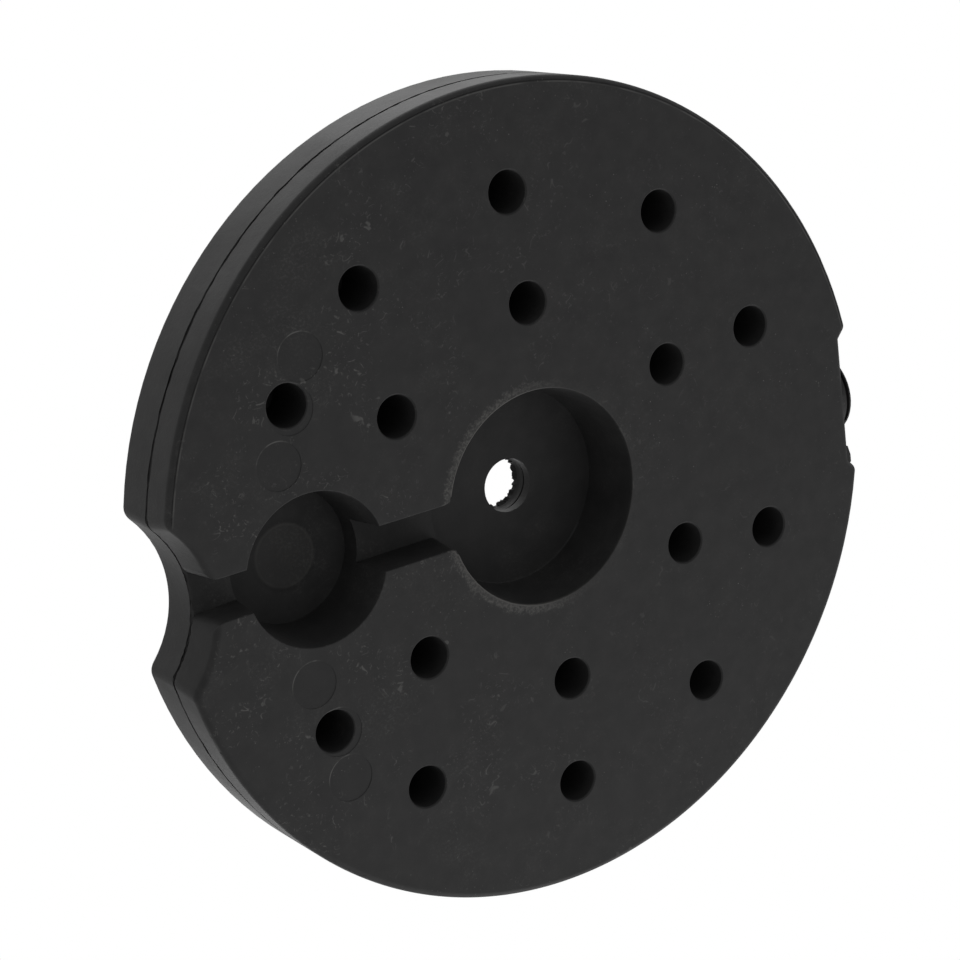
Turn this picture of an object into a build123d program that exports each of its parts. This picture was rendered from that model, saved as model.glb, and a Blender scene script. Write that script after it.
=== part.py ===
from build123d import *
import os
from math import cos, radians, sin, sqrt, tan

# A lamp's weighted foot: one thick rubber disc, pressed in a two-part mould.
# It stands on its underside at z = 0, with +Z up along the lamp's tube.
# The cord leaves the recess under the tube towards -X. All sizes are in mm.

# Disc
base_radius = 150.0
base_height = 35.0
parting_height = 15.3
under_edge_round = 2.5
top_edge_round = 3.0
parting_bevel = 0.35
parting_gap = 0.3
parting_step = 0.25

# Recess for the nut under the tube, and the bore through the web above it
recess_radius = 39.7
recess_depth = 23.4
wall_draft = 7.0
bore_radius = 10.05
bore_guide_length = 4.2
bore_relief = 0.6

# Pocket beside the recess, with a low round pad on its floor
pocket_radius = 27.4
pocket_depth = 24.0
pocket_rim_distance = 55.6
pad_radius = 11.4
pad_height = 1.3
pad_bevel = 0.6

# Cord channels from the recess to the pocket, and from the pocket to the notch
inner_channel_width = 16.7
inner_channel_depth = 17.0
outer_channel_width = 15.3
outer_channel_drop = 0.7
channel_ramp_length = 7.0
channel_draft = 1.3
recess_mouth_round = 3.5
notch_mouth_round = 4.5

# Notch in the rim where the cord leaves
notch_radius = 38.8
notch_axis_distance = 24.8
notch_under_flare = 1.9
notch_top_flare = 0.4
notch_horn_round = 5.5

# Flat in the rim opposite the notch, with the round stub that the mould was filled through
flat_depth = 6.3
flat_width = 48.6
flat_shoulder_angle = 49.0
flat_shoulder_round = 3.0
stub_radius = 15.8
stub_height = 16.0
stub_length = 3.3
stub_rim = 0.9
stub_groove_width = 1.5
stub_groove_depth = 1.5
stub_edge_round = 0.3
stub_root = 4.0

# Flash left standing in one corner of the flat
flash_width = 5.5
flash_slope_width = 3.7
flash_length = 1.1
flash_height = 4.0
flash_start = 0.8
flash_root = 1.0

# Blind core holes that save rubber, in mirrored pairs
core_radius = 7.7
core_depth = 24.0
core_mouth_bevel = 0.5
core_mouth_angle = 90.0
outer_ring_inset = 38.5
outer_ring_angles = (55.2, 90.0, 124.8)
stub_pair_inset = 41.9
stub_pair_angle = 21.6
pocket_pair_inset = 36.6
pocket_pair_angle = 148.7
inner_ring_radius = 71.3
inner_ring_angles = (87.6, 141.4)
inner_pair_radius = 69.7
inner_pair_angle = 30.0

# Limits used only to pick edges and to let cuts run clear
pick_limit = 0.01
wall_band = 1.0
flare_overcut = 3.0

# What follows from these sizes
upper_height = base_height - parting_height
parting_inset = parting_bevel + parting_step
flat_x = base_radius - flat_depth
stub_end_x = flat_x + stub_length
stub_rim_x = stub_end_x - stub_rim
stub_groove_x = stub_rim_x - stub_groove_width
notch_x = -(base_radius + notch_axis_distance)
pocket_x = -(base_radius - pocket_rim_distance)
pocket_edge_x = pocket_x - pocket_radius
channel_middle_x = (pocket_x + pocket_radius - recess_radius) / 2
outer_channel_depth = parting_height
outer_floor_half_width = outer_channel_width / 2 - outer_channel_depth * tan(radians(channel_draft))
core_places = [
    (base_radius - stub_pair_inset, stub_pair_angle),
    (base_radius - pocket_pair_inset, pocket_pair_angle),
    (inner_pair_radius, inner_pair_angle),
]
core_places += [(base_radius - outer_ring_inset, angle) for angle in outer_ring_angles]
core_places += [(inner_ring_radius, angle) for angle in inner_ring_angles]


def shoulder_rise(run):
    """How far the flat's shoulder climbs sideways over a run outwards."""
    return run * tan(radians(flat_shoulder_angle))


def rim_outline(inset):
    """Outline of the disc with its flat, drawn a little inside the moulding's side."""
    shoulder_end = flat_width / 2 + shoulder_rise(flat_depth + inset)
    with BuildSketch() as rim:
        Circle(base_radius - inset)
        with BuildLine():
            Polyline(
                (flat_x - inset, -flat_width / 2),
                (flat_x - inset, flat_width / 2),
                (base_radius, shoulder_end),
                (base_radius, -shoulder_end),
                close=True,
            )
        make_face(mode=Mode.SUBTRACT)
    return rim.sketch


def mould_half(height, notch_flare, edge_round):
    """One half of the disc, with its parting face on XY and its outer face at +Z."""
    with BuildPart() as half:
        with BuildSketch():
            add(rim_outline(0))
        extrude(amount=height)
        with Locations((notch_x, 0, 0)):
            Cone(
                notch_radius,
                notch_radius + notch_flare,
                height,
                align=(Align.CENTER, Align.CENTER, Align.MIN),
                mode=Mode.SUBTRACT,
            )
        uprights = half.edges().filter_by(lambda e: pick_limit < e.center().Z < height - pick_limit)
        horns = uprights.filter_by(lambda e: e.center().X < 0)
        shoulders = uprights.filter_by(Axis.Z).filter_by(lambda e: e.center().X > flat_x + pick_limit)
        fillet(horns, radius=notch_horn_round)
        fillet(shoulders, radius=flat_shoulder_round)
        fillet(half.faces().sort_by(Axis.Z)[-1].edges(), radius=edge_round)
        chamfer(half.faces().sort_by(Axis.Z)[0].edges(), length=parting_bevel)
    return half.part


def flare(plane, radius, half_width, side):
    """Section of the cut that rounds the corner between a channel wall and the notch."""
    reach = radius + notch_mouth_round
    across = half_width + notch_mouth_round
    axis = Vector(notch_x, 0)
    centre = Vector(notch_x + sqrt(reach**2 - across**2), side * across)
    on_wall = Vector(centre.X, side * half_width)
    on_notch = axis + (centre - axis) * (radius / reach)
    to_corner = ((on_wall + on_notch) / 2 - centre).normalized()
    clear_x = on_notch.X - flare_overcut
    clear_y = side * (half_width - flare_overcut)
    with BuildSketch(plane) as section:
        with BuildLine():
            ThreePointArc(on_wall, centre + to_corner * notch_mouth_round, on_notch)
            Polyline(on_notch, (clear_x, on_notch.Y), (clear_x, clear_y), (on_wall.X, clear_y), on_wall)
        make_face()
    return section.sketch


upper_half = mould_half(upper_height - parting_gap / 2, notch_top_flare, top_edge_round)
lower_half = mould_half(parting_height - parting_gap / 2, notch_under_flare, under_edge_round)

with BuildPart() as base_body:
    # The two halves of the moulding meet in a fine groove at the parting plane
    with Locations((0, 0, parting_height + parting_gap / 2)):
        add(upper_half)
    with Locations((0, 0, parting_height - parting_gap / 2)):
        add(lower_half.mirror(Plane.XY))
    with BuildSketch(Plane.XY.offset(parting_height - parting_gap / 2)) as web:
        add(rim_outline(parting_inset))
        with Locations((notch_x, 0)):
            Circle(notch_radius + parting_inset, mode=Mode.SUBTRACT)
        fillet(web.vertices().filter_by(lambda v: v.X < 0), radius=notch_horn_round)
        fillet(web.vertices().filter_by(lambda v: v.X > flat_x + pick_limit), radius=flat_shoulder_round)
    extrude(amount=parting_gap)

    # Recess and pocket, with the channel between them
    with BuildSketch():
        Circle(recess_radius)
    extrude(amount=recess_depth, taper=wall_draft, mode=Mode.SUBTRACT)
    with BuildSketch():
        with Locations((pocket_x, 0)):
            Circle(pocket_radius)
    extrude(amount=pocket_depth, taper=wall_draft, mode=Mode.SUBTRACT)
    with BuildSketch():
        with Locations((pocket_x, 0)):
            Rectangle(-pocket_x, inner_channel_width, align=(Align.MIN, Align.CENTER))
    extrude(amount=inner_channel_depth, taper=channel_draft, mode=Mode.SUBTRACT)

    # Channel from the pocket to the notch; its floor rises to the parting plane on a short ramp
    with BuildSketch():
        with Locations((notch_x, 0)):
            Rectangle(pocket_x - notch_x, outer_channel_width, align=(Align.MIN, Align.CENTER))
    extrude(amount=outer_channel_depth, taper=channel_draft, mode=Mode.SUBTRACT)
    with BuildSketch(Plane.XZ):
        with BuildLine():
            Polyline(
                (pocket_edge_x - channel_ramp_length, outer_channel_depth),
                (pocket_edge_x, outer_channel_depth + outer_channel_drop),
                (pocket_x, outer_channel_depth + outer_channel_drop),
                (pocket_x, outer_channel_depth),
                close=True,
            )
        make_face()
    extrude(amount=outer_floor_half_width, both=True, mode=Mode.SUBTRACT)

    # Rounded corners where the channels open into the recess and the notch
    recess_mouth = base_body.edges().filter_by(
        lambda e: under_edge_round < e.center().Z < inner_channel_depth
        and abs(abs(e.center().Y) - inner_channel_width / 2) < wall_band
        and e.center().X > channel_middle_x
    )
    fillet(recess_mouth, radius=recess_mouth_round)
    floor_plane = Plane.XY.offset(outer_channel_depth)
    for side in (1, -1):
        mouth_section = flare(Plane.XY, notch_radius + notch_under_flare, outer_channel_width / 2, side)
        floor_section = flare(floor_plane, notch_radius, outer_floor_half_width, side)
        loft(sections=[mouth_section, floor_section], mode=Mode.SUBTRACT)

    # Pad on the pocket floor
    with BuildSketch(Plane.XY.offset(pocket_depth)):
        with Locations((pocket_x, 0)):
            Circle(pad_radius)
    extrude(amount=-pad_height)
    pad_edges = base_body.edges().filter_by(GeomType.CIRCLE).filter_by(
        lambda e: abs(e.center().Z - pocket_depth + pad_height) < pick_limit
        and e.center().X < pocket_x + wall_band
    )
    chamfer(pad_edges, length=pad_bevel)

    # Bore: a short guide at the recess, and a slightly wider relief above it
    with BuildSketch(Plane.XY.offset(recess_depth)):
        Circle(bore_radius)
    extrude(amount=bore_guide_length, mode=Mode.SUBTRACT)
    with BuildSketch(Plane.XY.offset(recess_depth + bore_guide_length)):
        Circle(bore_radius + bore_relief)
    extrude(until=Until.LAST, mode=Mode.SUBTRACT)

    # Core holes with bevelled mouths
    for radius, angle in core_places:
        along = radius * cos(radians(angle))
        across = radius * sin(radians(angle))
        for side in (1, -1):
            with Locations(Plane(origin=(along, side * across, 0), z_dir=(0, 0, -1))):
                CounterSinkHole(
                    core_radius,
                    core_radius + core_mouth_bevel,
                    depth=core_depth,
                    counter_sink_angle=core_mouth_angle,
                )

    # Stub in the flat, turned about a line along X, with a groove behind its rim
    with BuildSketch(Plane.XZ):
        with BuildLine():
            Polyline(
                (flat_x - stub_root, stub_height),
                (flat_x - stub_root, stub_height + stub_radius),
                (stub_groove_x, stub_height + stub_radius),
                (stub_groove_x, stub_height + stub_radius - stub_groove_depth),
                (stub_rim_x, stub_height + stub_radius - stub_groove_depth),
                (stub_rim_x, stub_height + stub_radius),
                (stub_end_x - stub_edge_round, stub_height + stub_radius),
                (stub_end_x, stub_height + stub_radius - stub_edge_round),
                (stub_end_x, stub_height),
                close=True,
            )
        make_face()
    revolve(axis=Axis((0, 0, stub_height), (1, 0, 0)))

    # Flash in the corner of the flat
    with BuildSketch(Plane.XY.offset(flash_start)):
        with BuildLine():
            Polyline(
                (flat_x - flash_root, flat_width / 2 - flash_width),
                (flat_x, flat_width / 2 - flash_width),
                (flat_x + flash_length, flat_width / 2 - flash_width + flash_slope_width),
                (flat_x + flash_length, flat_width / 2 + shoulder_rise(flash_length)),
                (flat_x - flash_root, flat_width / 2 + shoulder_rise(flash_length)),
                close=True,
            )
        make_face()
    extrude(amount=flash_height)
base_body.part.label = "base_body"

os.makedirs("parts", exist_ok=True)
export_step(base_body.part, "parts/base_body.step")
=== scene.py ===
import bpy
import bmesh
from math import radians
from mathutils import Matrix, Vector


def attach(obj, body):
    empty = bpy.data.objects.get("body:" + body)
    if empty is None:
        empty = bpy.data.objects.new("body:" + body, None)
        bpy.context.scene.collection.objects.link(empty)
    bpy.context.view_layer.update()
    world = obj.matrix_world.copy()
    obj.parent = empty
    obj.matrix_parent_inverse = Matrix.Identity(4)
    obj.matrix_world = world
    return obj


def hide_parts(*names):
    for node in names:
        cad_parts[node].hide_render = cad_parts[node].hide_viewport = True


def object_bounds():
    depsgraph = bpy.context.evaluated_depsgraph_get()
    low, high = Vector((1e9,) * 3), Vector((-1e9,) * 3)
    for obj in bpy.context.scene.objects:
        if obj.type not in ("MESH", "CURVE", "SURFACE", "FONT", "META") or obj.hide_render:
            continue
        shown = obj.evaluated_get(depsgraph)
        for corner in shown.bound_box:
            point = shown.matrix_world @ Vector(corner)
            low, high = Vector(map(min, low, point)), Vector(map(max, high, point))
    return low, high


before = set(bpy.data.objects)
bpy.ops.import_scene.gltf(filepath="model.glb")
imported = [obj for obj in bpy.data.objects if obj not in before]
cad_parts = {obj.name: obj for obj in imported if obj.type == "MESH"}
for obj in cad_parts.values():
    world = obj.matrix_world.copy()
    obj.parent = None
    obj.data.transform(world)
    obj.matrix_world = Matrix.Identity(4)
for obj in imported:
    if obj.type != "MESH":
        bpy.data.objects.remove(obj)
cad_low, cad_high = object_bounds()

# The view: a long lens below the foot, on the notch's side, turned until the disc leans as photographed.
# The foot stands on its underside here, so the camera looks up at it through the open floor.
view_place = Vector((-0.4623, -0.2683, -0.7123))
view_target = Vector((-0.02575, -0.0135, 0.0001))
view_roll = radians(-71.8)
view_lens = 92.98
bpy.ops.object.camera_add(location=view_place)
camera = bpy.context.object
aim = (view_target - view_place).to_track_quat("-Z", "Y")
camera.rotation_euler = (aim.to_matrix() @ Matrix.Rotation(view_roll, 3, "Z")).to_euler()
camera.data.lens = view_lens
bpy.context.scene.camera = camera
bpy.context.scene.view_settings.view_transform = "Standard"

# The floor: a plain pale sheet, just under the foot, that fades to the white of the room far away. From
# below it isn't there, for the camera or for the lamps, so the underside can be seen and lit.
floor_side = 6.0
floor_drop = 0.0005
fade_start = 0.35
fade_end = 1.6
floor_colour = (0.78, 0.78, 0.77, 1.0)
floor_roughness = 0.9
floor_gloss = 0.1
bpy.ops.mesh.primitive_plane_add(size=floor_side, location=(0, 0, -floor_drop))
floor = bpy.context.object
floor.name = "floor"
floor.visible_diffuse = False
floor.visible_glossy = False
floor.visible_transmission = False
floor.visible_shadow = False
floor_paint = bpy.data.materials.new("floor_paint")
floor_paint.use_nodes = True
nodes = floor_paint.node_tree.nodes
links = floor_paint.node_tree.links
shader = nodes["Principled BSDF"]
shader.inputs["Base Color"].default_value = floor_colour
shader.inputs["Roughness"].default_value = floor_roughness
shader.inputs["Specular IOR Level"].default_value = floor_gloss
floor_point = nodes.new("ShaderNodeTexCoord")
floor_reach = nodes.new("ShaderNodeVectorMath")
floor_reach.operation = "LENGTH"
links.new(floor_point.outputs["Object"], floor_reach.inputs[0])
far_away = nodes.new("ShaderNodeMapRange")
far_away.interpolation_type = "SMOOTHSTEP"
far_away.inputs["From Min"].default_value = fade_start
far_away.inputs["From Max"].default_value = fade_end
links.new(floor_reach.outputs["Value"], far_away.inputs["Value"])
white = nodes.new("ShaderNodeEmission")
faded = nodes.new("ShaderNodeMixShader")
links.new(far_away.outputs["Result"], faded.inputs["Fac"])
links.new(shader.outputs["BSDF"], faded.inputs[1])
links.new(white.outputs["Emission"], faded.inputs[2])
facing = nodes.new("ShaderNodeNewGeometry")
clear = nodes.new("ShaderNodeBsdfTransparent")
one_sided = nodes.new("ShaderNodeMixShader")
links.new(facing.outputs["Backfacing"], one_sided.inputs["Fac"])
links.new(faded.outputs["Shader"], one_sided.inputs[1])
links.new(clear.outputs["BSDF"], one_sided.inputs[2])
links.new(one_sided.outputs["Shader"], nodes["Material Output"].inputs["Surface"])
floor.data.materials.append(floor_paint)

# The room: white behind the foot and in what it mirrors, and a dim even light on everything else, as in
# a small studio with white walls.
room_white = 1.0
room_light = 0.59
room_colour = (1.0, 1.0, 1.0, 1.0)
world = bpy.data.worlds.new("room")
bpy.context.scene.world = world
world.use_nodes = True
nodes = world.node_tree.nodes
links = world.node_tree.links
ray = nodes.new("ShaderNodeLightPath")
seen = nodes.new("ShaderNodeMath")
seen.operation = "MAXIMUM"
mirrored = nodes.new("ShaderNodeMath")
mirrored.operation = "MAXIMUM"
level = nodes.new("ShaderNodeMapRange")
level.inputs["To Min"].default_value = room_light
level.inputs["To Max"].default_value = room_white
links.new(ray.outputs["Is Camera Ray"], seen.inputs[0])
links.new(ray.outputs["Is Glossy Ray"], seen.inputs[1])
links.new(seen.outputs[0], mirrored.inputs[0])
links.new(ray.outputs["Is Transmission Ray"], mirrored.inputs[1])
links.new(mirrored.outputs[0], level.inputs["Value"])
links.new(level.outputs["Result"], nodes["Background"].inputs["Strength"])
nodes["Background"].inputs["Color"].default_value = room_colour

# The lamps: three soft panels, all aimed at the middle of the foot. One hangs over it, a large one stands
# far off and low to light the underside, and a small one brightens the side.
lamp_target = Vector((0, 0, 0.015))
# Each lamp: its place and its side in metres, and its power in watts
lamps = {
    "overhead_panel": ((0.6, -1.2, 1.6), 2.0, 27.0),
    "low_panel": ((2.2, 4.6, -1.9), 4.0, 160.0),
    "side_panel": ((-0.1, 1.7, 1.5), 1.0, 10.0),
}
for lamp_name, (lamp_place, lamp_side, lamp_power) in lamps.items():
    bpy.ops.object.light_add(type="AREA", location=lamp_place)
    lamp = bpy.context.object
    lamp.name = lamp_name
    lamp.data.size = lamp_side
    lamp.data.energy = lamp_power
    lamp.rotation_euler = (lamp_target - Vector(lamp_place)).to_track_quat("-Z", "Y").to_euler()
    lamp.visible_camera = False

# The foot: one thick disc of black rubber, pressed and cured in a two-part mould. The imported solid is
# copied, and the copy gets the fine forms of the next few sections.
foot_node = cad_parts["base_body"]
rim_radius = cad_high[1]
merge_distance = 0.000002


def make_active(piece):
    """Leave one piece selected and active, ready for an operator."""
    bpy.ops.object.select_all(action="DESELECT")
    piece.select_set(True)
    bpy.context.view_layer.objects.active = piece


foot = bpy.data.objects.new("foot", foot_node.data.copy())
bpy.context.scene.collection.objects.link(foot)
make_active(foot)
bpy.ops.object.mode_set(mode="EDIT")
bpy.ops.mesh.select_all(action="SELECT")
bpy.ops.mesh.remove_doubles(threshold=merge_distance)
bpy.ops.mesh.customdata_custom_splitnormals_clear()
bpy.ops.object.mode_set(mode="OBJECT")

# Lower rim: the mould gives the foot a smooth round edge below. The solid's facets are split and drawn
# onto a true round, except close to the notch and the flat.
under_round = 0.0025
rim_start_x = -0.142
rim_end_x = 0.139
rim_splits = 2
round_form_segments = 720
round_form_sides = 96


def on_lower_round(spot):
    """Whether a spot lies on the lower round of the rim, clear of the notch and the flat."""
    spot_reach = Vector((spot.x, spot.y)).length
    low_enough = spot.z < under_round + merge_distance
    far_enough = spot_reach > rim_radius - under_round - merge_distance
    return rim_start_x < spot.x < rim_end_x and low_enough and far_enough


make_active(foot)
bpy.ops.object.mode_set(mode="EDIT")
bpy.ops.mesh.select_mode(type="VERT")
bpy.ops.mesh.select_all(action="DESELECT")
bpy.ops.object.mode_set(mode="OBJECT")
for vertex in foot.data.vertices:
    vertex.select = on_lower_round(vertex.co)
bpy.ops.object.mode_set(mode="EDIT")
bpy.ops.mesh.subdivide(number_cuts=rim_splits)
bpy.ops.object.mode_set(mode="OBJECT")
round_group = foot.vertex_groups.new(name="lower_round")
round_group.add([v.index for v in foot.data.vertices if on_lower_round(v.co)], 1.0, "REPLACE")
bpy.ops.mesh.primitive_torus_add(
    location=(0, 0, under_round),
    major_radius=rim_radius - under_round,
    minor_radius=under_round,
    major_segments=round_form_segments,
    minor_segments=round_form_sides,
)
round_form = bpy.context.object
wrap = foot.modifiers.new("wrap", "SHRINKWRAP")
wrap.target = round_form
wrap.vertex_group = "lower_round"
make_active(foot)
bpy.ops.object.modifier_apply(modifier="wrap")
bpy.data.objects.remove(round_form)

# Pad in the pocket: a low round boss, moulded with the foot, whose edges came out soft. The solid's plain
# step is cut away, and the pad is built up ring by ring from its root in the pocket's floor.
pocket_floor = 0.024
pad_x = -0.0944
pad_root = 0.0005
pad_clear_radius = 0.0120
pad_clear_height = 0.0020
pad_segments = 128
# Each ring of the pad: its radius, and how far it stands out of the floor
pad_profile = [
    (0.0138, 0.0),
    (0.0130, 0.00006),
    (0.0122, 0.0002),
    (0.0115, 0.00036),
    (0.0109, 0.00044),
    (0.0100, 0.00044),
    (0.0092, 0.0004),
]


def combine(piece, tool, operation):
    """Add a tool body to a piece or cut it away, and delete the tool."""
    join = piece.modifiers.new("join", "BOOLEAN")
    join.object = tool
    join.operation = operation
    join.solver = "EXACT"
    make_active(piece)
    bpy.ops.object.modifier_apply(modifier="join")
    bpy.data.objects.remove(tool)


bpy.ops.mesh.primitive_cylinder_add(
    vertices=pad_segments,
    radius=pad_clear_radius,
    depth=pad_clear_height,
    location=(pad_x, 0, pocket_floor + pad_root / 2 - pad_clear_height / 2),
)
combine(foot, bpy.context.object, "DIFFERENCE")
ring_radius = pad_profile[0][0]
ring_height = pocket_floor + pad_root
bpy.ops.mesh.primitive_circle_add(
    vertices=pad_segments,
    radius=ring_radius,
    fill_type="NGON",
    location=(pad_x, 0, ring_height),
)
pad = bpy.context.object
bpy.ops.object.transform_apply(location=True, rotation=False, scale=False)
bpy.ops.object.mode_set(mode="EDIT")
bpy.ops.mesh.select_all(action="SELECT")
for next_radius, rise in pad_profile:
    next_height = pocket_floor - rise
    bpy.ops.mesh.extrude_region_move(TRANSFORM_OT_translate={"value": (0, 0, next_height - ring_height)})
    shrink = next_radius / ring_radius
    bpy.ops.transform.resize(value=(shrink, shrink, 1), center_override=(pad_x, 0, next_height))
    ring_radius = next_radius
    ring_height = next_height
bpy.ops.mesh.select_all(action="SELECT")
bpy.ops.mesh.normals_make_consistent(inside=False)
bpy.ops.object.mode_set(mode="OBJECT")
combine(foot, pad, "UNION")

# Soft edges: rubber fills a mould's corners with a small round. The mouths in the underside get one, and
# so does the corner of the recess floor on the half of the foot where Y is positive.
recess_floor = 0.0234
corner_start_y = 0.022
corner_angle = radians(50)
corner_round = 0.0005
mouth_round = 0.00035
round_steps = 3


def on_mouth_edge(edge):
    """Whether an edge is the sharp mouth of a recess or channel in the underside."""
    if not edge.is_manifold or edge.calc_face_angle_signed() < corner_angle:
        return False
    return all(abs(vertex.co.z) < merge_distance for vertex in edge.verts)


def in_floor_corner(edge):
    """Whether an edge is the sharp inner corner between the recess floor and its wall."""
    if not edge.is_manifold or edge.calc_face_angle_signed() > -corner_angle:
        return False
    if min(vertex.co.y for vertex in edge.verts) < corner_start_y:
        return False
    return all(abs(vertex.co.z - recess_floor) < merge_distance for vertex in edge.verts)


for wanted, edge_round in ((in_floor_corner, corner_round), (on_mouth_edge, mouth_round)):
    make_active(foot)
    bpy.ops.object.mode_set(mode="EDIT")
    bpy.ops.mesh.select_mode(type="EDGE")
    bpy.ops.mesh.select_all(action="DESELECT")
    edit_mesh = bmesh.from_edit_mesh(foot.data)
    for edge in edit_mesh.edges:
        edge.select_set(wanted(edge))
    bmesh.update_edit_mesh(foot.data)
    bpy.ops.mesh.bevel(offset=edge_round, segments=round_steps, affect="EDGES")
    bpy.ops.object.mode_set(mode="OBJECT")

# Groove in the bore: a narrow ring in its wall, left where two core pins of the mould met, below the torn
# web that closes in over it.
bore_groove_height = 0.0281
bore_groove_radius = 0.01045
bore_groove_depth = 0.0009
bore_groove_segments = 128
bore_groove_sides = 12
bpy.ops.mesh.primitive_torus_add(
    location=(0, 0, bore_groove_height),
    major_radius=bore_groove_radius,
    minor_radius=bore_groove_depth,
    major_segments=bore_groove_segments,
    minor_segments=bore_groove_sides,
)
combine(foot, bpy.context.object, "DIFFERENCE")

# Prints in the underside, beside the pocket: ejector pins and core bushings stood a hair proud of the
# mould, and left shallow round hollows in the rubber.
print_depth = 0.00013
print_segments = 96
pin_print_radius = 0.0086
bushing_print_radius = 0.0089
prints = [
    (-0.0893, -0.0740, pin_print_radius),
    (-0.1032, -0.0393, pin_print_radius),
    (-0.1022, 0.0398, pin_print_radius),
    (-0.0936, 0.0776, pin_print_radius),
    (-0.0960, -0.0573, bushing_print_radius),
    (-0.0953, 0.0597, bushing_print_radius),
]
for x, y, radius in prints:
    bpy.ops.mesh.primitive_cylinder_add(
        vertices=print_segments,
        radius=radius,
        depth=2 * print_depth,
        location=(x, y, 0),
    )
    combine(foot, bpy.context.object, "DIFFERENCE")

# Parting line: the two mould halves closed on thin rubber here, and tearing it off left an uneven, dark
# groove round the side and the notch.
parting_height = 0.0153
parting_cut = 0.00085
parting_sides = 6
parting_unevenness = 0.0004
notch_axis_x = -0.1748
notch_radius = 0.0388
# Each groove: where its axis is, its radius, its segments and the seed of its unevenness
parting_grooves = [
    (0.0, rim_radius, 480, 7),
    (notch_axis_x, notch_radius, 150, 8),
]
for axis_x, radius, segments, seed in parting_grooves:
    bpy.ops.mesh.primitive_torus_add(
        location=(axis_x, 0, parting_height),
        major_radius=radius,
        minor_radius=parting_cut,
        major_segments=segments,
        minor_segments=parting_sides,
    )
    groove = bpy.context.object
    bpy.ops.object.mode_set(mode="EDIT")
    bpy.ops.mesh.select_all(action="SELECT")
    bpy.ops.transform.vertex_random(offset=parting_unevenness, uniform=0.3, normal=0.7, seed=seed)
    bpy.ops.object.mode_set(mode="OBJECT")
    combine(foot, groove, "DIFFERENCE")

# Witness groove: the mould's floor plate met its ring here, just inside the lower edge of the rim. It
# shows on the half of the foot where Y is negative, and has worn away on the other.
plate_groove_radius = 0.1483
plate_groove_height = 0.00012
plate_groove_depth = 0.00028
plate_groove_segments = 540
plate_groove_sides = 6
bpy.ops.mesh.primitive_torus_add(
    location=(0, 0, plate_groove_height),
    major_radius=plate_groove_radius,
    minor_radius=plate_groove_depth,
    major_segments=plate_groove_segments,
    minor_segments=plate_groove_sides,
)
groove = bpy.context.object
bpy.ops.object.transform_apply(location=True, rotation=False, scale=False)
bpy.ops.object.mode_set(mode="EDIT")
bpy.ops.mesh.select_all(action="SELECT")
bpy.ops.mesh.bisect(plane_co=(0, 0, 0), plane_no=(0, 1, 0), use_fill=True, clear_outer=True)
bpy.ops.object.mode_set(mode="OBJECT")
combine(foot, groove, "DIFFERENCE")

# The foot's skin: smooth over its rounds and sharp at its true edges. The broad flat faces are given the
# say in the shading, so that the cuts leave no false shadows on them.
smooth_limit = radians(32)
broad_face_weight = 85
make_active(foot)
bpy.ops.object.shade_smooth_by_angle(angle=smooth_limit)
level_shading = foot.modifiers.new("level_shading", "WEIGHTED_NORMAL")
level_shading.keep_sharp = True
level_shading.weight = broad_face_weight
bpy.ops.object.modifier_apply(modifier="level_shading")

# The rubber: dull black, clouded and finely grained, with dust and short scuffs on the underside and a
# chalky lip round the recess. Painted light is laid on as well: painted highlights on the pad, along the
# edges of the prints and beside the witness groove, and painted shade along the parting line. It goes on
# the foot and, further down, on the torn web.
rubber_dark = (0.0105, 0.0105, 0.0108, 1.0)
rubber_light = (0.0215, 0.0213, 0.0212, 1.0)
dust_colour = (0.10, 0.098, 0.094, 1.0)
# The scuff colour also paints highlights, the lip colour also paints the paler light on the pad, and the
# torn colour is painted shade
scuff_and_highlight_colour = (0.08, 0.079, 0.077, 1.0)
lip_and_pad_light_colour = (0.075, 0.073, 0.070, 1.0)
groove_shade_colour = (0.004, 0.004, 0.004, 1.0)
rubber_gloss = 0.16

rubber = bpy.data.materials.new("black_rubber")
rubber.use_nodes = True
nodes = rubber.node_tree.nodes
links = rubber.node_tree.links
shader = nodes["Principled BSDF"]
shader.inputs["Specular IOR Level"].default_value = rubber_gloss


def add_node(kind, label, **settings):
    """Add a node to the rubber, with a label and its settings."""
    node = nodes.new(kind)
    node.label = label
    for setting, value in settings.items():
        setattr(node, setting, value)
    return node


def noise(label, vector, scale, detail=2.0, roughness=0.5, distortion=0.0):
    """A noise pattern over the surface, in features per metre."""
    node = add_node("ShaderNodeTexNoise", label)
    node.inputs["Scale"].default_value = scale
    node.inputs["Detail"].default_value = detail
    node.inputs["Roughness"].default_value = roughness
    node.inputs["Distortion"].default_value = distortion
    links.new(vector, node.inputs["Vector"])
    return node.outputs["Fac"]


def remap(label, value, low, high, to_low=0.0, to_high=1.0):
    """Spread a range of a value over another range, with soft ends."""
    node = add_node("ShaderNodeMapRange", label, interpolation_type="SMOOTHSTEP")
    node.inputs["From Min"].default_value = low
    node.inputs["From Max"].default_value = high
    node.inputs["To Min"].default_value = to_low
    node.inputs["To Max"].default_value = to_high
    links.new(value, node.inputs["Value"])
    return node.outputs["Result"]


def fade(label, value, low, high):
    """White up to a low value, and black from a high one."""
    return remap(label, value, low, high, 1.0, 0.0)


def combine_values(label, operation, first, second):
    """Join two values, or a value and a number, by a sum, product or the like."""
    node = add_node("ShaderNodeMath", label, operation=operation)
    for socket, value in zip(node.inputs, (first, second)):
        if isinstance(value, (int, float)):
            socket.default_value = value
        else:
            links.new(value, socket)
    return node.outputs[0]


def plus(label, first, second):
    """The sum of two values."""
    return combine_values(label, "ADD", first, second)


def larger(label, first, second):
    """The larger of two values at each spot."""
    return combine_values(label, "MAXIMUM", first, second)


def product(label, first, *others):
    """The product of masks and numbers, taken in their order."""
    for other in others:
        first = combine_values(label, "MULTIPLY", first, other)
    return first


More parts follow.
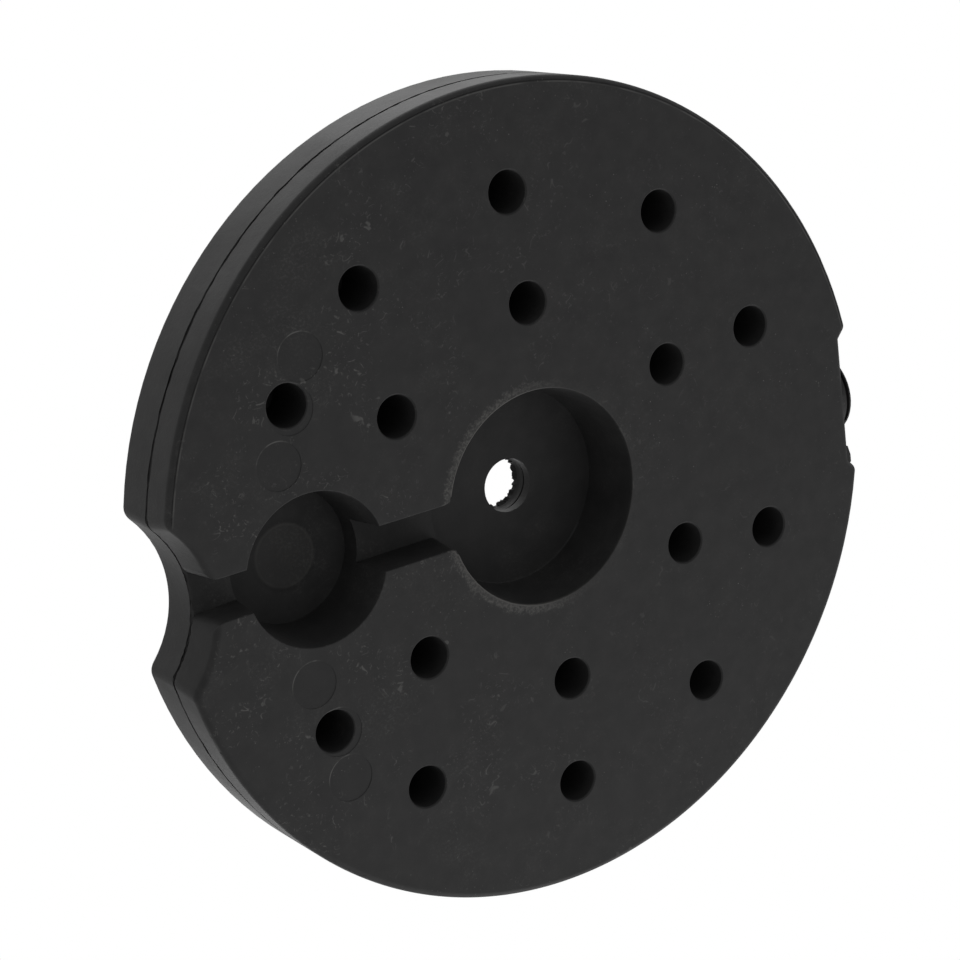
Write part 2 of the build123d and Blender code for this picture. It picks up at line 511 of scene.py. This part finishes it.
def near(label, value, middle, start, end):
    """White where a value is close to a middle one, fading between two distances from it."""
    offset = combine_values(label + ", offset", "SUBTRACT", value, middle)
    away = combine_values(label + ", either way", "ABSOLUTE", offset, 0.0)
    return fade(label, away, start, end)


def measure(label, operation, vector, other):
    """Set a vector against a fixed one: their distance, difference or dot product."""
    node = add_node("ShaderNodeVectorMath", label, operation=operation)
    links.new(vector, node.inputs[0])
    node.inputs[1].default_value = other
    return node.outputs["Vector" if operation == "SUBTRACT" else "Value"]


def tint(label, mask, under, over):
    """Lay a colour over another one where a mask is white."""
    node = add_node("ShaderNodeMix", label, data_type="RGBA")
    links.new(mask, node.inputs["Factor"])
    for socket, layer in ((node.inputs[6], under), (node.inputs[7], over)):
        if isinstance(layer, tuple):
            socket.default_value = layer
        else:
            links.new(layer, socket)
    return node.outputs[2]


# Where a spot is: its three coordinates, its place in plan, and how far it is from the bore's axis
underside_depth = 0.0016
coordinates = add_node("ShaderNodeTexCoord", "place on the foot")
point = coordinates.outputs["Object"]
axes = add_node("ShaderNodeSeparateXYZ", "axes")
links.new(point, axes.inputs["Vector"])
at_x = axes.outputs["X"]
at_y = axes.outputs["Y"]
at_z = axes.outputs["Z"]
plan = add_node("ShaderNodeCombineXYZ", "plan view")
links.new(at_x, plan.inputs["X"])
links.new(at_y, plan.inputs["Y"])
from_axis = add_node("ShaderNodeVectorMath", "distance from the bore's axis", operation="LENGTH")
links.new(plan.outputs["Vector"], from_axis.inputs[0])
reach = from_axis.outputs["Value"]
underside = fade("underside", at_z, 0.0, underside_depth)

# Cloudy base tone: slow clouds and a finer mottle, between the two blacks
clouds = noise("clouds", point, scale=16, detail=3.0, roughness=0.6)
mottle = noise("mottle", point, scale=120, detail=3.0, roughness=0.6)
cloud_tone = remap("cloud tone", plus("clouds and mottle", clouds, mottle), 0.40, 1.60)
colour = tint("base tone", cloud_tone, rubber_dark, rubber_light)

# Dry bloom in patches, heavier towards the notch
bloom_strength = 0.45
bloom_field = noise("bloom field", point, scale=30, detail=4.0, roughness=0.65)
bloom_patches = remap("bloom patches", bloom_field, 0.48, 0.72)
bloom_dots = noise("bloom dots", point, scale=900, roughness=0.7)
bloom_grain = remap("bloom grain", bloom_dots, 0.45, 0.75)
towards_notch = remap("towards the notch", at_x, 0.09, -0.12, 0.25, 1.0)
bloom = product("bloom", bloom_patches, bloom_grain, towards_notch)
bloom_mask = product("bloom strength", bloom, bloom_strength)
colour = tint("bloom laid on", bloom_mask, colour, scuff_and_highlight_colour)

# Short scuffs: fine and coarse hairlines that wander, and fainter straight strokes
hair_middle = 0.5
fine_hair_strength = 0.7
stroke_strength = 0.4
stroke_turn = 0.5
stroke_scale = (170, 1700, 170)
scuff_strength = 0.7
fine_field = noise("fine hair field", point, scale=300, detail=1.0, distortion=1.5)
fine_hairs = near("fine hairs", fine_field, hair_middle, 0.016, 0.040)
fine_breaks = remap("fine breaks", noise("fine break field", point, scale=520), 0.55, 0.62)
fine_hairs = product("broken fine hairs", fine_hairs, fine_breaks, fine_hair_strength)
hair_field = noise("hair field", point, scale=110, detail=1.0, distortion=1.0)
hairs = near("hairs", hair_field, hair_middle, 0.006, 0.018)
hair_breaks = remap("hair breaks", noise("hair break field", point, scale=240), 0.55, 0.62)
hairs = product("broken hairs", hairs, hair_breaks)
hairs = larger("all hairs", hairs, fine_hairs)
one_way = add_node("ShaderNodeMapping", "drawn out one way")
one_way.inputs["Rotation"].default_value = (0, 0, stroke_turn)
one_way.inputs["Scale"].default_value = stroke_scale
links.new(point, one_way.inputs["Vector"])
stroke_field = noise("stroke field", one_way.outputs["Vector"], scale=1.0)
strokes = remap("strokes", stroke_field, 0.68, 0.74)
scuffs = larger("scuffs", hairs, product("fainter strokes", strokes, stroke_strength))
scuff_field = noise("scuff field", point, scale=38, roughness=0.6)
scuff_patches = remap("scuff patches", scuff_field, 0.46, 0.60)
scuffs = product("scuffs below", scuffs, scuff_patches, underside, towards_notch)
scuff_mask = product("scuff strength", scuffs, scuff_strength)
colour = tint("scuffs laid on", scuff_mask, colour, scuff_and_highlight_colour)

# Dust: a speck in about one cell in five of a fine scatter, mostly in patches and on the underside
speck_scale = 900
specks = add_node("ShaderNodeTexVoronoi", "specks")
specks.inputs["Scale"].default_value = speck_scale
links.new(point, specks.inputs["Vector"])
speck_dots = fade("speck size", specks.outputs["Distance"], 0.10, 0.26)
speck_lots = add_node("ShaderNodeSeparateColor", "speck lots")
links.new(specks.outputs["Color"], speck_lots.inputs["Color"])
speck_choice = remap("few specks", speck_lots.outputs["Red"], 0.80, 1.0)
speck_field = noise("speck field", point, scale=26, detail=3.0, roughness=0.6)
speck_patches = remap("speck patches", speck_field, 0.44, 0.70, 0.06, 1.0)
mostly_below = remap("mostly below", at_z, 0.0, 0.002, 1.0, 0.25)
dust = product("dust", speck_dots, speck_choice, speck_patches, mostly_below)
colour = tint("dust laid on", dust, colour, dust_colour)

# Chalky lip round the recess: a smooth pale line at the edge, and a crumbly band outside it that frays
recess_radius = 0.0397
lip_fray = 0.010
lip_line = fade("lip line", reach, recess_radius + 0.0002, recess_radius + 0.0006)
lip_wobble = noise("lip wobble", point, scale=330, detail=4.0, roughness=0.8)
lip_wobble = product("lip fray", lip_wobble, lip_fray)
lip_reach = combine_values("uneven reach", "SUBTRACT", reach, lip_wobble)
lip_band = fade("lip width", lip_reach, recess_radius - 0.0030, recess_radius - 0.0012)
lip_crumbs = noise("lip crumbs", point, scale=900, detail=3.0, roughness=0.7)
lip_grain = remap("lip grain", lip_crumbs, 0.38, 0.66, 0.15, 0.8)
lip_band = product("grained lip", lip_band, lip_grain)
lip_direction = combine_values("lip direction", "DIVIDE", at_x, reach)
lip_side = remap("lip side", lip_direction, 0.45, -0.35, 0.12, 1.0)
lip = larger("line and band", lip_line, lip_band)
lip = product("lip below, mostly on one side", lip, underside, lip_side)
colour = tint("lip laid on", lip, colour, lip_and_pad_light_colour)

# Painted highlight: a pale line just inside the witness groove stands in for the light caught by a low
# ridge there, broken up in places
ridge_radius = plate_groove_radius - 0.0006
ridge_highlight_strength = 0.5
painted_ridge_highlight = near("painted_ridge_highlight", reach, ridge_radius, 0.0001, 0.0004)
ridge_highlight_breaks = remap("breaks in the highlight by the plate groove", noise("ridge field", point, scale=90), 0.35, 0.6, 0.2, 1.0)
groove_half = fade("half with the groove", at_y, -0.01, 0.0)
lower_edge = fade("lower edge", at_z, 0.0, 0.0008)
painted_ridge_highlight = product("broken highlight by the plate groove", painted_ridge_highlight, ridge_highlight_breaks, groove_half, lower_edge, ridge_highlight_strength)
colour = tint("ridge laid on", painted_ridge_highlight, colour, scuff_and_highlight_colour)

# Pad in the pocket, painted light: the top is painted paler for the extra light the raised pad catches,
# and a pale ring round it lifts the shade at its edge and stands in for highlights on its bead, broken up
# in places
pad_top_light_strength = 0.12
bead_radius = 0.0113
bead_highlight_strength = 0.22
pad_reach = measure("distance from the pad", "DISTANCE", plan.outputs["Vector"], (pad_x, 0, 0))
pad_top_light = fade("painted light on the top of the pad", pad_reach, 0.0100, 0.0128)
bead_highlight = near("bead_highlight", pad_reach, bead_radius, 0.0, 0.0009)
bead_highlight_breaks = remap("breaks in the pale ring", noise("bead field", point, scale=60), 0.35, 0.6, 0.3, 1.0)
bead_highlight = product("broken pale ring", bead_highlight, bead_highlight_breaks, bead_highlight_strength)
pad_painted_light = plus("painted light on the pad", product("light on the top", pad_top_light, pad_top_light_strength), bead_highlight)
deep_enough = remap("deep enough", at_z, 0.0210, 0.0230)
not_on_top = fade("not on the top", at_z, 0.0242, 0.0250)
pad_painted_light = product("painted light on the pad, at the floor", pad_painted_light, deep_enough, not_on_top)
colour = tint("painted pad light laid on", pad_painted_light, colour, lip_and_pad_light_colour)

# Prints of the pins: darker than the face round them, with a painted highlight along the edge on the side
# that faces the light, broken up in places
print_strength = 0.4
print_softness = 0.0003
print_edge_width = 0.0004
lit_side = (-0.47, -0.88, 0.0)
inside_prints = 0.0
all_edge_highlights = 0.0
for x, y, radius in prints:
    print_reach = measure("distance from a print", "DISTANCE", point, (x, y, 0))
    inside_print = fade("inside a print", print_reach, radius - print_softness, radius)
    inside_prints = larger("inside the prints", inside_print, inside_prints)
    print_edge_highlight = near("edge of a print", print_reach, radius, 0.0, print_edge_width)
    way_out = measure("way out of a print", "SUBTRACT", point, (x, y, 0))
    towards_light = measure("towards the lit side", "DOT_PRODUCT", way_out, lit_side)
    lit_part = remap("lit part", towards_light, 0.3 * radius, 0.9 * radius)
    print_edge_highlight = product("highlight on the lit side", print_edge_highlight, lit_part)
    all_edge_highlights = larger("all edges", print_edge_highlight, all_edge_highlights)
inside_prints = product("print strength", inside_prints, print_strength)
colour = tint("prints laid on", inside_prints, colour, rubber_dark)
edge_field = noise("edge field", point, scale=140, detail=3.0, roughness=0.6)
edge_breaks = remap("edge breaks", edge_field, 0.40, 0.56, 0.2, 1.0)
all_edge_highlights = product("broken edges", all_edge_highlights, edge_breaks)
colour = tint("edge highlights laid on", all_edge_highlights, colour, scuff_and_highlight_colour)

# Torn rubber along the parting line, with painted shade: a dark line stands in for the shade in its
# groove, out at the side and in the notch, but not in the channel
tear_height = parting_height + 0.0003
tear_wander = 0.0006
tear_field = noise("tear field", point, scale=260, roughness=0.6)
tear_level = plus("tear level", at_z, product("tear wobble", tear_field, tear_wander))
torn_line_and_shade = near("torn_line_and_shade", tear_level, tear_height, 0.0003, 0.0006)
from_channel = combine_values("away from the channel", "ABSOLUTE", at_y, 0.0)
beside_channel = remap("beside the channel", from_channel, 0.010, 0.012)
out_at_side = remap("out at the side", reach, 0.131, 0.133)
torn_line_and_shade = product("torn line with painted shade, on the side", torn_line_and_shade, beside_channel, out_at_side)
colour = tint("painted shade in the torn line laid on", torn_line_and_shade, colour, groove_shade_colour)
links.new(colour, shader.inputs["Base Color"])

# Dull finish, duller where the rubber is chalky or torn
smoothest = 0.59
roughest = 0.69
bloom_roughness = 0.2
tear_roughness = 0.3
finish = remap("finish", clouds, 0.3, 0.7, smoothest, roughest)
finish = plus("chalky finish", finish, product("chalk", bloom, bloom_roughness))
finish = plus("torn finish", finish, product("tear roughness", torn_line_and_shade, tear_roughness))
links.new(finish, shader.inputs["Roughness"])

# Relief: fine grain and shallow unevenness, with the scuffs, the dust and the lip standing out of it
grain_height = 0.35
scuff_height = 0.3
lip_height = 0.8
side_grain_height = 1.1
relief_depth = 0.00012
relief_strength = 0.5
grain = noise("fine grain", point, scale=2600, roughness=0.6)
uneven = noise("unevenness", point, scale=260, detail=3.0, roughness=0.6)
height = plus("grain and unevenness", product("grain height", grain, grain_height), uneven)
height = plus("relief with scuffs", height, product("scuff height", scuffs, scuff_height))
height = plus("relief with dust", height, dust)
height = plus("relief with lip", height, product("lip height", lip, lip_height))
side_grain = noise("side grain", point, scale=700, roughness=0.7)
on_side = remap("on the side", at_z, 0.001, 0.004, 0.0, side_grain_height)
height = plus("relief with side grain", height, product("side height", side_grain, on_side))
relief = add_node("ShaderNodeBump", "relief")
relief.inputs["Strength"].default_value = relief_strength
relief.inputs["Distance"].default_value = relief_depth
links.new(height, relief.inputs["Height"])
links.new(relief.outputs["Normal"], shader.inputs["Normal"])

foot.data.materials.clear()
foot.data.materials.append(rubber)
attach(foot, "root")
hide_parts("base_body")

# Torn web in the bore: a thin skin of rubber that narrows towards the top, where the punch that opened
# the bore left its edge ragged.
web_start_radius = 0.0109
web_start_height = 0.0305
web_rings = [(0.0105, 0.0325), (0.0097, 0.0343)]
web_segments = 110
web_thickness = 0.0003
web_raggedness = 0.0007
web_seed = 11
bpy.ops.object.select_all(action="DESELECT")
bpy.ops.mesh.primitive_circle_add(
    vertices=web_segments,
    radius=web_start_radius,
    location=(0, 0, web_start_height),
)
web = bpy.context.object
web.name = "bore_web"
bpy.ops.object.transform_apply(location=True, rotation=False, scale=False)
bpy.ops.object.mode_set(mode="EDIT")
bpy.ops.mesh.select_all(action="SELECT")
ring_radius = web_start_radius
ring_height = web_start_height
for next_radius, next_height in web_rings:
    bpy.ops.mesh.extrude_edges_move(TRANSFORM_OT_translate={"value": (0, 0, next_height - ring_height)})
    shrink = next_radius / ring_radius
    bpy.ops.transform.resize(value=(shrink, shrink, 1), center_override=(0, 0, next_height))
    ring_radius = next_radius
    ring_height = next_height
bpy.ops.transform.vertex_random(offset=web_raggedness, uniform=0.6, normal=0.4, seed=web_seed)
bpy.ops.object.mode_set(mode="OBJECT")
skin = web.modifiers.new("skin", "SOLIDIFY")
skin.thickness = web_thickness
skin.offset = 0.0
make_active(web)
bpy.ops.object.modifier_apply(modifier="skin")
web.data.materials.append(rubber)
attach(web, "root")
